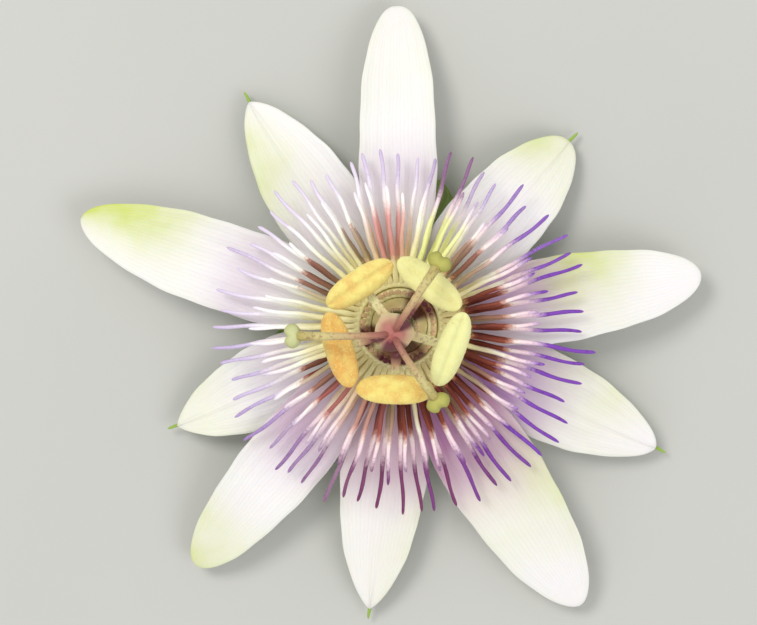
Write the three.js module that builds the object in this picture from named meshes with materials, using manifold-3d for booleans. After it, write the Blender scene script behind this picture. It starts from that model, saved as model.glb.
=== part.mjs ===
// A cut passion flower, lying face up on its three bracts, with +Z up and the surface at Z = 0.
// Lengths are in millimetres. Azimuths are in degrees, counter-clockwise from +X seen from above.
// Each piece that points away from the flower's axis is built along +X and then turned to its azimuth.

import * as THREE from 'three'
import { mergeVertices } from 'three/addons/utils/BufferGeometryUtils.js'
import Module from 'manifold-3d'

const wasm = await Module()
wasm.setup()

// Driving dimensions
const clearance = 0.3
const cupRadius = 8.2
const cupBottom = 3.3
const cupTop = 8.2
const seat = cupTop + clearance
const columnTop = 17
const ovaryTop = 23.7
const antherRadius = 8
const antherHeight = 18.15

const colours = {
  stem: 0x8fa65a,
  bract: 0x9db56a,
  sepal: 0xf0f3e6,
  petal: 0xf7f5f7,
  longCorona: 0xa583c4,
  shortCorona: 0x5a2140,
  column: 0xc9cf9a,
  filament: 0xc5cc8e,
  anther: 0xe6bc3c,
  ovary: 0xb9c48a,
  style: 0x7a4152,
  stigma: 0x8f8f45,
}

// Each row runs from the root to the tip: reach is the tip's distance from the axis, width is the
// widest part, tipHeight and arch set the droop, roll turns the blade about its own length, and a
// smaller blunt makes a rounder tip.
const petals = [
  { azimuth: 9.5, reach: 42.6, width: 12.0, tipHeight: 4.2, arch: 7.6, roll: -5, ripple: 0.35, blunt: 0.5 },
  { azimuth: 90.9, reach: 44.6, width: 10.9, tipHeight: 3.4, arch: 7.4, roll: 3, ripple: 0.25, blunt: 0.42 },
  { azimuth: 162.1, reach: 48, width: 12.4, tipHeight: 4.4, arch: 7.6, roll: 6, ripple: 0.3, blunt: 0.55 },
  { azimuth: 229.8, reach: 46, width: 11.2, tipHeight: 3.0, arch: 7.6, roll: -4, ripple: 0.3, blunt: 0.5 },
  { azimuth: 302.3, reach: 47.6, width: 13.6, tipHeight: 2.8, arch: 7.8, roll: 4, ripple: 0.35, blunt: 0.55 },
]
const sepals = [
  { azimuth: 47.6, reach: 34.8, width: 12.8, tipHeight: 2.2, arch: 6.4, roll: 4, ripple: 0.2, blunt: 0.5 },
  { azimuth: 125, reach: 38, width: 12.8, tipHeight: 2.6, arch: 5.8, roll: -5, ripple: 0.2, blunt: 0.7 },
  { azimuth: 205, reach: 35.6, width: 12.2, tipHeight: 2.8, arch: 5.6, roll: 4, ripple: 0.2, blunt: 0.75 },
  { azimuth: 263.5, reach: 41.5, width: 12.2, tipHeight: 2.4, arch: 5.8, roll: -3, ripple: 0.2, blunt: 0.72 },
  { azimuth: 333.9, reach: 40, width: 12.8, tipHeight: 2.6, arch: 5.8, roll: 4, ripple: 0.2, blunt: 0.62 },
]
const petalForm = {
  rootHeight: 6.9,
  rootShare: 0.55,
  widestAt: 0.42,
  tipPower: 2.2,
  middleThickness: 0.8,
  edgeThickness: 0.65,
  cupping: 0.7,
}
const sepalForm = {
  rootHeight: 5.2,
  rootShare: 0.6,
  widestAt: 0.4,
  tipPower: 2.0,
  middleThickness: 1.1,
  edgeThickness: 0.7,
  cupping: 0.6,
}
const awn = { start: -2.2, end: 1.7, drop: 1.1, radius: 0.5, tipRadius: 0.32 }

// Corona rows: each filament leaves the row's root ring, rises to the bend and falls to its tip.
const outerCorona = {
  count: 60,
  seed: 3,
  ring: { inner: 6.9, outer: cupRadius, bottom: seat, top: 9.4 },
  root: { radius: 7.2, height: 8.95 },
  bend: { radius: 15, height: 11.2 },
  tip: { radius: 25.8, height: 9.4 },
  lengthSpread: 2.8,
  heightSpread: 0.7,
  sway: 1.5,
  lean: 1.0,
  leanAzimuth: -75,
}
const secondCorona = {
  count: 50,
  seed: 7,
  ring: { inner: 5.4, outer: 6.6, bottom: seat, top: 9.8 },
  root: { radius: 5.8, height: 9.2 },
  bend: { radius: 9.5, height: 13.2 },
  tip: { radius: 20.4, height: 12.0 },
  lengthSpread: 2.4,
  heightSpread: 0.8,
  sway: 1.3,
  lean: 0.8,
  leanAzimuth: -75,
}
const longFilament = { segments: 4, radius: 0.45, tipRadius: 0.4 }
const innerCorona = {
  count: 36,
  seed: 11,
  ring: { inner: 4.2, outer: 5.1, bottom: seat, top: 9.2 },
  rootRadius: 4.65,
  headRadius: 5.0,
  headHeight: 12.4,
  heightSpread: 0.8,
  stalk: 0.34,
  head: 0.55,
}
const fringe = { count: 15, rootRadius: 2.6, tipRadius: 2.25, rootHeight: 10.1, tipHeight: 11.4, radius: 0.3 }

const stamens = [
  { azimuth: 54, lift: 0.4, roll: 10, yaw: -2 },
  { azimuth: 127, lift: 0.1, roll: -8, yaw: -3 },
  { azimuth: 199, lift: 0.4, roll: 12, yaw: -2 },
  { azimuth: 270, lift: 0.0, roll: -6, yaw: -1 },
  { azimuth: 342.5, lift: 0.4, roll: 16, yaw: -3 },
]
const anther = { length: 10.8, width: 4.2, depth: 2.3, furrow: 0.34 }
const stamenFilament = { rootRadius: 1.95, end: 8.1, height: 16.2, arch: 16.7, width: 1.5, thickness: 0.75 }

const stigmas = [
  { azimuth: 57, radius: 11.5 },
  { azimuth: 182, radius: 13.7 },
  { azimuth: 303, radius: 11.2 },
]
const style = {
  rootRadius: 0.78,
  thickness: 0.5,
  waist: 0.42,
  club: 0.7,
  crestRadius: 2.6,
  crestHeight: 27.5,
}
const stigma = { height: 21.7, radial: 1.3, tangential: 1.75, vertical: 1.25, furrow: 0.3 }

const bracts = {
  count: 3,
  azimuth: 75,
  rootRadius: 1.6,
  rootHalfWidth: 1.2,
  reach: 21,
  width: 12,
  thickness: 0.7,
}
const bractForm = { rootHeight: 2.3, landAt: 0.5, leaveAt: 0.75, tipRise: 1.2, cupping: 1.5, flatShare: 0.34 }
const pedicel = { radius: 1.25, bottom: 0.6, top: cupBottom - clearance }

const radians = THREE.MathUtils.degToRad
const lerp = THREE.MathUtils.lerp

// A repeatable draw between 0 and 1 for item i and channel c.
function draw(i, c) {
  const value = Math.sin(i * 12.9898 + c * 78.233) * 43758.5453
  return value - Math.floor(value)
}

function bezier(a, b, c, t) {
  return a * (1 - t) ** 2 + 2 * b * t * (1 - t) + c * t * t
}

function closedGeometry(points, triangles) {
  const geometry = new THREE.BufferGeometry().setFromPoints(points)
  geometry.setIndex(triangles.flat())
  return geometry
}

// A thin closed blade over a grid: middle(u, v) is its middle surface, with u from root to tip and
// v from -1 to 1 across, and depth(u, v) its thickness along Z. Both faces are split alike.
function bladeGeometry(rows, columns, middle, depth) {
  const points = []
  const count = (rows + 1) * (columns + 1)
  for (const side of [0.5, -0.5]) {
    for (let i = 0; i <= rows; i++) {
      for (let j = 0; j <= columns; j++) {
        const u = Math.sin((i / rows) * Math.PI / 2)
        const v = (2 * j) / columns - 1
        const point = middle(u, v)
        point.z += side * depth(u, v)
        points.push(point)
      }
    }
  }
  const at = (i, j) => i * (columns + 1) + j
  const triangles = []
  for (let i = 0; i < rows; i++) {
    for (let j = 0; j < columns; j++) {
      const [a, b, c, d] = [at(i, j), at(i + 1, j), at(i + 1, j + 1), at(i, j + 1)]
      triangles.push([a, b, c], [a, c, d])
      triangles.push([a + count, c + count, b + count], [a + count, d + count, c + count])
    }
  }
  const rim = []
  for (let i = 0; i < rows; i++) rim.push(at(i, 0))
  for (let j = 0; j < columns; j++) rim.push(at(rows, j))
  for (let i = rows; i > 0; i--) rim.push(at(i, columns))
  for (let j = columns; j > 0; j--) rim.push(at(0, j))
  rim.forEach((p, k) => {
    const q = rim[(k + 1) % rim.length]
    triangles.push([p + count, q + count, q], [p + count, q, p])
  })
  return closedGeometry(points, triangles)
}

// A closed body through rings of equal size, each counter-clockwise about the way of travel.
function loftGeometry(rings) {
  const sides = rings[0].length
  const triangles = []
  for (let k = 0; k + 1 < rings.length; k++) {
    for (let i = 0; i < sides; i++) {
      const [a, b] = [k * sides + i, k * sides + ((i + 1) % sides)]
      triangles.push([a, b, b + sides], [a, b + sides, a + sides])
    }
  }
  const last = (rings.length - 1) * sides
  for (let i = 1; i + 1 < sides; i++) {
    triangles.push([0, i + 1, i], [last, last + i, last + i + 1])
  }
  return closedGeometry(rings.flat(), triangles)
}

// A tapering tube along a curve. side is a fixed direction across the curve, radius(t) its half
// thickness at t from 0 to 1.
function tubeGeometry(curve, segments, sides, side, radius) {
  const rings = []
  for (let k = 0; k <= segments; k++) {
    const t = k / segments
    const centre = curve.getPoint(t)
    const travel = curve.getTangent(t)
    const across = side.clone().addScaledVector(travel, -side.dot(travel)).normalize()
    const up = travel.clone().cross(across)
    const ring = []
    for (let i = 0; i < sides; i++) {
      const angle = ((i + 0.5) / sides) * 2 * Math.PI
      const point = centre.clone()
      point.addScaledVector(across, radius(t) * Math.cos(angle))
      point.addScaledVector(up, radius(t) * Math.sin(angle))
      ring.push(point)
    }
    rings.push(ring)
  }
  return loftGeometry(rings)
}

function latheGeometry(profile, segments) {
  const points = profile.map(([radius, height]) => new THREE.Vector2(radius, height))
  return new THREE.LatheGeometry(points, segments).rotateX(Math.PI / 2)
}

function ringGeometry({ inner, outer, bottom, top }, segments) {
  const profile = [[inner, bottom], [outer, bottom], [outer, top], [inner, top], [inner, bottom]]
  return latheGeometry(profile, segments)
}

function toSolid(geometry) {
  const plain = new THREE.BufferGeometry()
  plain.setAttribute('position', geometry.getAttribute('position'))
  plain.setIndex(geometry.getIndex())
  const merged = mergeVertices(plain, 1e-4)
  return new wasm.Manifold(new wasm.Mesh({
    numProp: 3,
    vertProperties: Float32Array.from(merged.getAttribute('position').array),
    triVerts: Uint32Array.from(merged.getIndex().array),
  }))
}

function fuse(geometries) {
  const solid = geometries.map(toSolid).reduce((whole, next) => whole.add(next))
  const { vertProperties, triVerts } = solid.getMesh()
  const geometry = new THREE.BufferGeometry()
  geometry.setAttribute('position', new THREE.BufferAttribute(vertProperties, 3))
  geometry.setIndex(new THREE.BufferAttribute(triVerts, 1))
  return geometry
}

// The half width of a petal or sepal at u from root to tip.
function halfWidth(form, { width, blunt }, u) {
  const smallest = 0.4
  if (u <= form.widestAt) {
    const opening = Math.sin((u / form.widestAt) * Math.PI / 2)
    return (width / 2) * lerp(form.rootShare, 1, opening)
  }
  const t = (u - form.widestAt) / (1 - form.widestAt)
  return Math.max(smallest, (width / 2) * (1 - t ** form.tipPower) ** blunt)
}

function tepalGeometry(form, tepal) {
  const rootRadius = cupRadius + clearance
  const middle = (u, v) => {
    const half = halfWidth(form, tepal, u)
    const y = half * v
    const rootArc = Math.sqrt(rootRadius ** 2 - y * y) - rootRadius
    const x = lerp(rootRadius, tepal.reach, u) + rootArc * (1 - u) ** 3
    const spine = bezier(form.rootHeight, tepal.arch, tepal.tipHeight, u)
    const cup = form.cupping * v * v * Math.sin(Math.PI * u)
    const tilt = y * Math.tan(radians(tepal.roll)) * u
    const ripple = tepal.ripple * Math.sin(3 * Math.PI * u) * v
    return new THREE.Vector3(x, y, spine + cup + tilt + ripple)
  }
  const depth = (u, v) => lerp(form.middleThickness, form.edgeThickness, Math.abs(v))
  return bladeGeometry(12, 6, middle, depth)
}

function sepalGeometry(tepal) {
  const spine = u => bezier(sepalForm.rootHeight, tepal.arch, tepal.tipHeight, u)
  const startX = tepal.reach + awn.start
  const startU = (startX - cupRadius - clearance) / (tepal.reach - cupRadius - clearance)
  const start = new THREE.Vector3(startX, 0, spine(startU) - sepalForm.middleThickness / 2)
  const end = new THREE.Vector3(tepal.reach + awn.end, 0, tepal.tipHeight - awn.drop)
  const bend = new THREE.Vector3(tepal.reach, 0, tepal.tipHeight - 0.4)
  const curve = new THREE.QuadraticBezierCurve3(start, bend, end)
  const side = new THREE.Vector3(0, 1, 0)
  const hook = tubeGeometry(curve, 4, 6, side, t => lerp(awn.radius, awn.tipRadius, t))
  return fuse([tepalGeometry(sepalForm, tepal), hook])
}

// Bracts touch the surface on a small flat spot between landAt and leaveAt of their length.
function bractGeometry() {
  const { rootHeight, landAt, leaveAt, tipRise, cupping, flatShare } = bractForm
  const rest = bracts.thickness / 2
  const middle = (u, v) => {
    const opening = Math.max(0, Math.sin(Math.PI * u ** 0.85)) ** 0.8
    const half = Math.max(0.5, (bracts.width / 2) * opening + bracts.rootHalfWidth * (1 - u))
    const landing = THREE.MathUtils.smoothstep(u, 0, landAt)
    const rising = Math.max(0, u - leaveAt) / (1 - leaveAt)
    const edge = Math.max(0, Math.abs(v) - flatShare)
    const x = lerp(bracts.rootRadius, bracts.reach, u)
    const z = lerp(rootHeight, rest, landing) + tipRise * rising ** 2 + cupping * edge * edge * u
    return new THREE.Vector3(x, half * v, z)
  }
  return bladeGeometry(10, 6, middle, () => bracts.thickness)
}

function receptacleGeometry() {
  const profile = [
    [0, cupBottom],
    [2.4, cupBottom],
    [5.2, cupBottom + 0.5],
    [7.2, cupBottom + 1.4],
    [cupRadius - 0.2, cupBottom + 2.4],
    [cupRadius, cupBottom + 3.4],
    [cupRadius, cupTop - 0.4],
    [cupRadius - 0.4, cupTop],
    [5.2, cupTop],
    [4.0, cupTop - 0.1],
    [2.4, cupTop],
    [0, cupTop],
  ]
  return latheGeometry(profile, 30)
}

function coronaFilamentGeometry(row, i) {
  const azimuth = (2 * Math.PI * i) / row.count
  const lean = row.lean * Math.cos(azimuth - radians(row.leanAzimuth))
  const reach = row.tip.radius + lean + row.lengthSpread * (draw(i, row.seed) - 0.5)
  const tipHeight = row.tip.height + row.heightSpread * (draw(i, row.seed + 1) - 0.5)
  const sway = row.sway * (draw(i, row.seed + 2) - 0.5)
  const points = [
    new THREE.Vector3(row.root.radius, 0, row.root.height),
    new THREE.Vector3(row.bend.radius, sway * 0.2, row.bend.height),
    new THREE.Vector3(reach, sway, tipHeight),
  ]
  const curve = new THREE.QuadraticBezierCurve3(...points)
  const side = new THREE.Vector3(0, 1, 0)
  const radius = t => lerp(longFilament.radius, longFilament.tipRadius, t)
  return tubeGeometry(curve, longFilament.segments, 4, side, radius).rotateZ(azimuth)
}

function longCoronaGeometry(row) {
  const filaments = []
  for (let i = 0; i < row.count; i++) filaments.push(coronaFilamentGeometry(row, i))
  return fuse([ringGeometry(row.ring, 30), ...filaments])
}

// Short upright filaments, each with a round head.
function innerCoronaGeometry() {
  const row = innerCorona
  const side = new THREE.Vector3(0, 1, 0)
  const filaments = []
  for (let i = 0; i < row.count; i++) {
    const azimuth = (2 * Math.PI * i) / row.count
    const height = row.headHeight + row.heightSpread * (draw(i, row.seed) - 0.5)
    const root = new THREE.Vector3(row.rootRadius, 0, row.ring.bottom + 0.3)
    const bend = new THREE.Vector3(row.rootRadius, 0, lerp(row.ring.top, height, 0.5))
    const head = new THREE.Vector3(row.headRadius, 0, height)
    const curve = new THREE.QuadraticBezierCurve3(root, bend, head)
    const radius = t => (t > 0.5 && t < 0.9 ? row.head : row.stalk)
    filaments.push(tubeGeometry(curve, 3, 4, side, radius).rotateZ(azimuth))
  }
  return fuse([ringGeometry(row.ring, 24), ...filaments])
}

// A membrane sloping in towards the column, with a fringe on its inner edge.
function operculumGeometry() {
  const profile = [
    [3.3, seat],
    [3.9, seat],
    [3.8, seat + 0.8],
    [2.8, seat + 2.1],
    [2.3, seat + 1.8],
    [3.2, seat + 0.6],
    [3.3, seat],
  ]
  const side = new THREE.Vector3(0, 1, 0)
  const teeth = []
  for (let i = 0; i < fringe.count; i++) {
    const root = new THREE.Vector3(fringe.rootRadius, 0, fringe.rootHeight)
    const tip = new THREE.Vector3(fringe.tipRadius, 0, fringe.tipHeight)
    const azimuth = (2 * Math.PI * i) / fringe.count
    const curve = new THREE.LineCurve3(root, tip)
    teeth.push(tubeGeometry(curve, 1, 4, side, () => fringe.radius).rotateZ(azimuth))
  }
  return fuse([latheGeometry(profile, 15), ...teeth])
}

function columnGeometry() {
  const profile = [
    [0, seat],
    [1.9, seat],
    [1.5, seat + 0.9],
    [1.25, seat + 2.5],
    [1.2, columnTop - 3],
    [1.5, columnTop - 1],
    [1.6, columnTop],
    [0, columnTop],
  ]
  return latheGeometry(profile, 12)
}

function ovaryGeometry() {
  const bottom = columnTop + clearance
  const profile = [
    [0, bottom],
    [1.5, bottom],
    [2.3, bottom + 1.1],
    [2.7, bottom + 2.7],
    [2.6, bottom + 4.1],
    [2.0, bottom + 5.4],
    [1.3, ovaryTop - 0.1],
    [0, ovaryTop],
  ]
  return latheGeometry(profile, 14)
}

function pedicelGeometry() {
  const { radius, bottom, top } = pedicel
  const profile = [[0, bottom], [radius, bottom], [radius * 1.05, top - 1], [radius * 1.3, top], [0, top]]
  return latheGeometry(profile, 12)
}

function stamenFilamentGeometry() {
  const { rootRadius, end, height, arch, width, thickness } = stamenFilament
  const middle = (u, v) => {
    const half = (width / 2) * lerp(1, 0.75, u)
    const y = half * v
    const rootArc = Math.sqrt(rootRadius ** 2 - y * y) - rootRadius
    const x = lerp(rootRadius, end, u) + rootArc * (1 - u) ** 3
    return new THREE.Vector3(x, y, bezier(height, arch, height, u))
  }
  return bladeGeometry(6, 2, middle, (u, v) => thickness * (1 - 0.25 * v * v))
}

// Oblong, with its length across the filament and a furrow along each face.
function antherGeometry() {
  const { length, width, depth, furrow } = anther
  const sides = 12
  const stations = [-1, -0.93, -0.72, -0.38, 0, 0.38, 0.72, 0.93, 1]
  const rings = stations.map(s => {
    const swell = Math.max(0.3, Math.sqrt(1 - Math.abs(s) ** 2.6))
    const ring = []
    for (let i = 0; i < sides; i++) {
      const angle = (i / sides) * 2 * Math.PI
      const dent = 1 - furrow * Math.exp(-((Math.cos(angle) / 0.35) ** 2))
      const x = -(width / 2) * swell * Math.cos(angle)
      const z = (depth / 2) * swell * Math.sin(angle) * dent
      ring.push(new THREE.Vector3(x, (s * length) / 2, z))
    }
    return ring
  })
  return loftGeometry(rings)
}

// The style leaves the ovary upright, arches out and ends just short of its stigma.
function styleGeometry({ radius }) {
  const root = new THREE.Vector3(style.rootRadius, 0, ovaryTop + clearance)
  const crest = new THREE.Vector3(style.crestRadius, 0, style.crestHeight)
  const knob = new THREE.Vector3(radius, 0, stigma.height)
  const back = crest.clone().sub(knob).setLength(stigma.radial + clearance + 0.1)
  const curve = new THREE.QuadraticBezierCurve3(root, crest, knob.clone().add(back))
  const side = new THREE.Vector3(0, 1, 0)
  const thickness = t => bezier(style.thickness, style.waist * 0.8, style.club, t)
  return tubeGeometry(curve, 9, 6, side, thickness)
}

// A two-lobed knob, wider across than along its style.
function stigmaGeometry() {
  const geometry = new THREE.SphereGeometry(1, 12, 8).rotateX(Math.PI / 2)
  const position = geometry.getAttribute('position')
  const point = new THREE.Vector3()
  for (let i = 0; i < position.count; i++) {
    point.fromBufferAttribute(position, i)
    const dent = 1 - stigma.furrow * Math.exp(-((point.y / 0.3) ** 2)) * Math.max(0, point.x + 0.2)
    point.multiply(new THREE.Vector3(stigma.radial * dent, stigma.tangential, stigma.vertical * dent))
    position.setXYZ(i, point.x, point.y, point.z)
  }
  return geometry
}

const flower = new THREE.Group()

function place(name, geometry, colour, azimuth = 0, parent = flower) {
  const material = new THREE.MeshStandardMaterial({ color: colours[colour], roughness: 0.6, metalness: 0 })
  const mesh = new THREE.Mesh(geometry, material)
  mesh.name = name
  mesh.rotation.z = radians(azimuth)
  parent.add(mesh)
  return mesh
}

place('pedicel', pedicelGeometry(), 'stem')
place('receptacle', receptacleGeometry(), 'stem')
for (let i = 0; i < bracts.count; i++) {
  place(`bract_${i + 1}`, bractGeometry(), 'bract', bracts.azimuth + (360 * i) / bracts.count)
}
sepals.forEach((tepal, i) => {
  place(`sepal_${i + 1}`, sepalGeometry(tepal), 'sepal', tepal.azimuth)
})
petals.forEach((tepal, i) => {
  place(`petal_${i + 1}`, tepalGeometry(petalForm, tepal), 'petal', tepal.azimuth)
})
place('corona_outer', longCoronaGeometry(outerCorona), 'longCorona')
place('corona_second', longCoronaGeometry(secondCorona), 'longCorona')
place('corona_inner', innerCoronaGeometry(), 'shortCorona')
place('operculum', operculumGeometry(), 'shortCorona')
place('androgynophore', columnGeometry(), 'column')
place('ovary', ovaryGeometry(), 'ovary')
stamens.forEach((stamen, i) => {
  place(`stamen_filament_${i + 1}`, stamenFilamentGeometry(), 'filament', stamen.azimuth)
  const arm = new THREE.Group()
  arm.rotation.z = radians(stamen.azimuth)
  flower.add(arm)
  const mesh = place(`anther_${i + 1}`, antherGeometry(), 'anther', stamen.yaw, arm)
  mesh.position.set(antherRadius, 0, antherHeight + stamen.lift)
  mesh.rotation.y = radians(stamen.roll)
})
stigmas.forEach((tip, i) => {
  place(`style_${i + 1}`, styleGeometry(tip), 'style', tip.azimuth)
  const arm = new THREE.Group()
  arm.rotation.z = radians(tip.azimuth)
  flower.add(arm)
  const mesh = place(`stigma_${i + 1}`, stigmaGeometry(), 'stigma', 0, arm)
  mesh.position.set(tip.radius, 0, stigma.height)
})

// The origin is at the middle of the flower's outline, on the surface it lies on.
const outline = new THREE.Box3().setFromObject(flower)
const centre = outline.getCenter(new THREE.Vector3())
flower.position.set(-centre.x, -centre.y, -outline.min.z)

const part = new THREE.Group()
part.add(flower)

export default part
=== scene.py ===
"""A cut passion flower lying face up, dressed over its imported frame.

Shapes are worked out in millimetres round the flower's axis, with +Z up, and turned to their azimuths
in degrees, counter-clockwise from +X. They are placed in metres by the frame.
"""
import math
from types import SimpleNamespace as Form

import bpy
import numpy as np
from mathutils import Matrix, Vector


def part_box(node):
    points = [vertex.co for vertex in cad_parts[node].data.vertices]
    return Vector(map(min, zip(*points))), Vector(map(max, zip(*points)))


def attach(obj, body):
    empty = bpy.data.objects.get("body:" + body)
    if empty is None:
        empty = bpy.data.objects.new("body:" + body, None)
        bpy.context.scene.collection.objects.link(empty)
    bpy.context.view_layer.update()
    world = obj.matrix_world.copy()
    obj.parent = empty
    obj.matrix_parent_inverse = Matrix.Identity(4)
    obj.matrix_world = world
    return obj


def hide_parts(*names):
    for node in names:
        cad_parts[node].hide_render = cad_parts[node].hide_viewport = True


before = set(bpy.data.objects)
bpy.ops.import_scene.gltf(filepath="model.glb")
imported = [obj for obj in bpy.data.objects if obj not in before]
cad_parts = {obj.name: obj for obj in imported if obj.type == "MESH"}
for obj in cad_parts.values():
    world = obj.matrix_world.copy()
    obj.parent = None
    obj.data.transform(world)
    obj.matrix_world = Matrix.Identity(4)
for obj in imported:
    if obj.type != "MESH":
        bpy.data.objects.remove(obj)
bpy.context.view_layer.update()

MM = 0.001
TURN = 2 * math.pi

column_low, column_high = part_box("androgynophore")
AXIS = np.array([(column_low[0] + column_high[0]) / 2, (column_low[1] + column_high[1]) / 2, 0.0])

# The heights and radii that carry the pieces, as in the frame's solids.
CLEARANCE = 0.3
SINK = 0.15  # how deep a piece grows into the one that bears it
CUP_RADIUS = 8.2
CUP_BOTTOM = 3.3
CUP_TOP = 8.2
SEAT = CUP_TOP + CLEARANCE
COLUMN_TOP = 17.0
OVARY_TOP = 23.7
ANTHER_RADIUS = 8.0
ANTHER_HEIGHT = 18.15

# Petals and sepals. reach is the tip's distance from the axis, tip its height, and arch the height
# that the blade bends towards. roll turns it about its own length, and a smaller blunt makes a rounder
# tip. green is the strength of the yellow-green tint, which lies between shares start and end of the
# length and leans to the edge that side says. lilac is how strongly the foot is tinted, and how far
# that leans.
PETALS = [
    Form(azimuth=9.5, reach=42.6, width=12, tip=4.2, arch=7.6, roll=-5, ripple=0.35, blunt=0.5,
         green=0.8, side=0.8, start=0.15, end=0.55, lilac=(0.55, 0.85)),
    Form(azimuth=90.9, reach=44.6, width=10.9, tip=3.4, arch=7.4, roll=3, ripple=0.25, blunt=0.42,
         green=0.1, side=0, start=0.4, end=1, lilac=(0.55, 0)),
    Form(azimuth=162.1, reach=48, width=12.4, tip=4.4, arch=7.6, roll=6, ripple=0.3, blunt=0.55,
         green=1, side=-0.8, start=0.45, end=1, lilac=(0.75, 0)),
    Form(azimuth=229.8, reach=46, width=11.2, tip=3, arch=7.6, roll=-4, ripple=0.3, blunt=0.5,
         green=0.6, side=-0.1, start=0.6, end=1, lilac=(0.8, 0)),
    Form(azimuth=302.3, reach=47.6, width=13.6, tip=2.8, arch=7.8, roll=4, ripple=0.35, blunt=0.55,
         green=0.4, side=0.5, start=0.1, end=0.6, lilac=(1, -0.1)),
]
SEPALS = [
    Form(azimuth=47.6, reach=34.8, width=12.8, tip=2.2, arch=6.4, roll=4, blunt=0.5,
         green=0.6, side=0.5, start=0.55, end=1, lilac=(0.1, 0)),
    Form(azimuth=125, reach=38, width=12.8, tip=2.6, arch=5.8, roll=-5, blunt=0.7,
         green=0.55, side=0.9, start=0.3, end=0.8, lilac=(0.4, 0)),
    Form(azimuth=205, reach=35.6, width=12.2, tip=2.8, arch=5.6, roll=4, blunt=0.75,
         green=0.25, side=0, start=0.5, end=1, lilac=(0.55, 0)),
    Form(azimuth=263.5, reach=41.5, width=12.2, tip=2.4, arch=5.8, roll=-3, blunt=0.72,
         green=0.2, side=0.7, start=0.3, end=1, lilac=(0.85, 0)),
    Form(azimuth=333.9, reach=40, width=12.8, tip=2.6, arch=5.8, roll=4, blunt=0.62,
         green=0.3, side=0.5, start=0.2, end=0.7, lilac=(0.85, -0.2)),
]
# What all petals or all sepals share: the root's height and its share of the width, the widest place
# and how fast the blade narrows from there, its thickness in the middle and at the edge, how far its
# edges rise, and how deep its furrow and its keel are.
PETAL_FORM = Form(
    root=6.9, share=0.55, widest=0.42, power=2.2, middle=0.62, edge=0.34, cupping=0.7, furrow=0.1,
    keel=0,
)
SEPAL_FORM = Form(
    root=5.2, share=0.6, widest=0.4, power=2.0, middle=0.95, edge=0.42, cupping=0.6, furrow=0.2,
    keel=0.55, ripple=0.2,
)
TEPAL_ROOT = CUP_RADIUS - 0.5
TEPAL_MESH = (100, 56)  # rows and columns
MIDRIB = 0.09  # half width of the furrow above and the keel below, as a share of the blade's
VEINS = 62.0  # radians of the veins' wave from midrib to edge
# The awn begins back from a sepal's tip and ends past it, and hooks down by drop.
AWN = Form(back=4.5, past=1.7, drop=1.1, thick=0.46, thin=0.16, sides=12, stations=24)

# Rows of filaments. ring is the inner and outer radius and the top of the ring that bears them. root,
# bend and tip are the radius and height where a filament begins, is drawn towards, and ends.
OUTER_CORONA = Form(
    count=60, seed=3, ring=(6.9, CUP_RADIUS, 9.4), root=(7.2, 8.95), bend=(15, 11.2), tip=(25.8, 9.4),
    length_spread=2.8, height_spread=0.7, sway=1.5, lean=1,
)
SECOND_CORONA = Form(
    count=50, seed=7, ring=(5.4, 6.6, 9.8), root=(5.8, 9.2), bend=(9.5, 13.2), tip=(20.4, 12),
    length_spread=2.4, height_spread=0.8, sway=1.3, lean=0.8,
)
# The inner row's root and head are radii, and stalk is the radius of a filament's foot and neck.
INNER_CORONA = Form(
    count=36, seed=11, ring=(3.95, 5.35, 9.2), root=4.65, head=5, height=12.4, height_spread=0.8,
    stalk=(0.26, 0.19), knob=0.42, sides=8, stations=22,
)
LONG_FILAMENT = Form(base=0.39, tip=0.22, wave=0.16, curl=0.2, knots=0.06, sides=10, stations=40)
LEAN_AZIMUTH = math.radians(-75)  # the corona reaches furthest towards here
# The deepest colours are partly the flower's own and partly painted shade, away from the key light.
SHADED_DEEP_AZIMUTH = math.radians(-40)  # and its colours are deepest here
PLUM_AZIMUTH = math.radians(-95)  # where its tips are plum, not violet
CORONA_SCALE = 30.0  # the radius that the corona's colour bands are shares of
# Places of deeper colour, by azimuth, half width and strength: patches of painted shade on the
# crown, which stands inside the long corona, where shadows fall between the stamens and under the
# ovary, and on the long corona dark, rose-red and lime ones, and plum tips.
CROWN_SHADE_PATCHES = [(45, 30, 1), (-99, 32, 1), (198, 20, 1), (-62, 22, 0.9)]
CORONA_PATCHES = [
    (46, 7, 0.8), (96, 12, 0.25), (117, 5, 0.65), (149, 10, 0.9), (217, 8, 0.9), (254, 14, 0.75),
]
BLUSH_PATCHES = [(96, 12, 0.75), (240, 20, 0.3)]
LIME_PATCHES = [(65, 10, 0.8)]
PLUM_PATCHES = [(69, 9, 0.85)]
# The hairs of the operculum's fringe, with radius and height of root and tip.
FRINGE = Form(
    count=45, seed=19, root=(2.6, 10.1), tip=(2.2, 11.4), thick=0.14, thin=0.05, sides=6, stations=10,
)

# lift raises an anther, roll and yaw turn it, ripe is how far pollen covers it, and warm how orange
# that pollen is.
STAMENS = [
    # The first anther's low ripe lets its pale body show: painted light where the first style's shadow
    # falls.
    Form(azimuth=54, lift=0.4, roll=10, yaw=-2, ripe=0.35, warm=0.05),
    Form(azimuth=127, lift=0.1, roll=-8, yaw=-3, ripe=0.85, warm=0.3),
    Form(azimuth=199, lift=0.4, roll=12, yaw=-2, ripe=0.9, warm=0.8),
    Form(azimuth=270, lift=0, roll=-6, yaw=-1, ripe=1, warm=0.35),
    Form(azimuth=342.5, lift=0.4, roll=16, yaw=-3, ripe=0.2, warm=0.1),
]
ANTHER = Form(length=10.8, width=4.2, depth=2.3, furrow=0.34, groove=0.3, stations=110, sides=68)
CRUST = [(0.045, 0.16, 0), (0.03, 0.35, 5)]  # depth and size of the pollen's lumps, and their seed
POLLEN = Form(count=240, seed=31, small=0.035, large=0.085)
STAMEN_FILAMENT = Form(
    root=1.95, end=8.1, height=16.2, arch=16.7, width=1.5, thickness=0.75, mesh=(40, 16),
)
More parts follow.
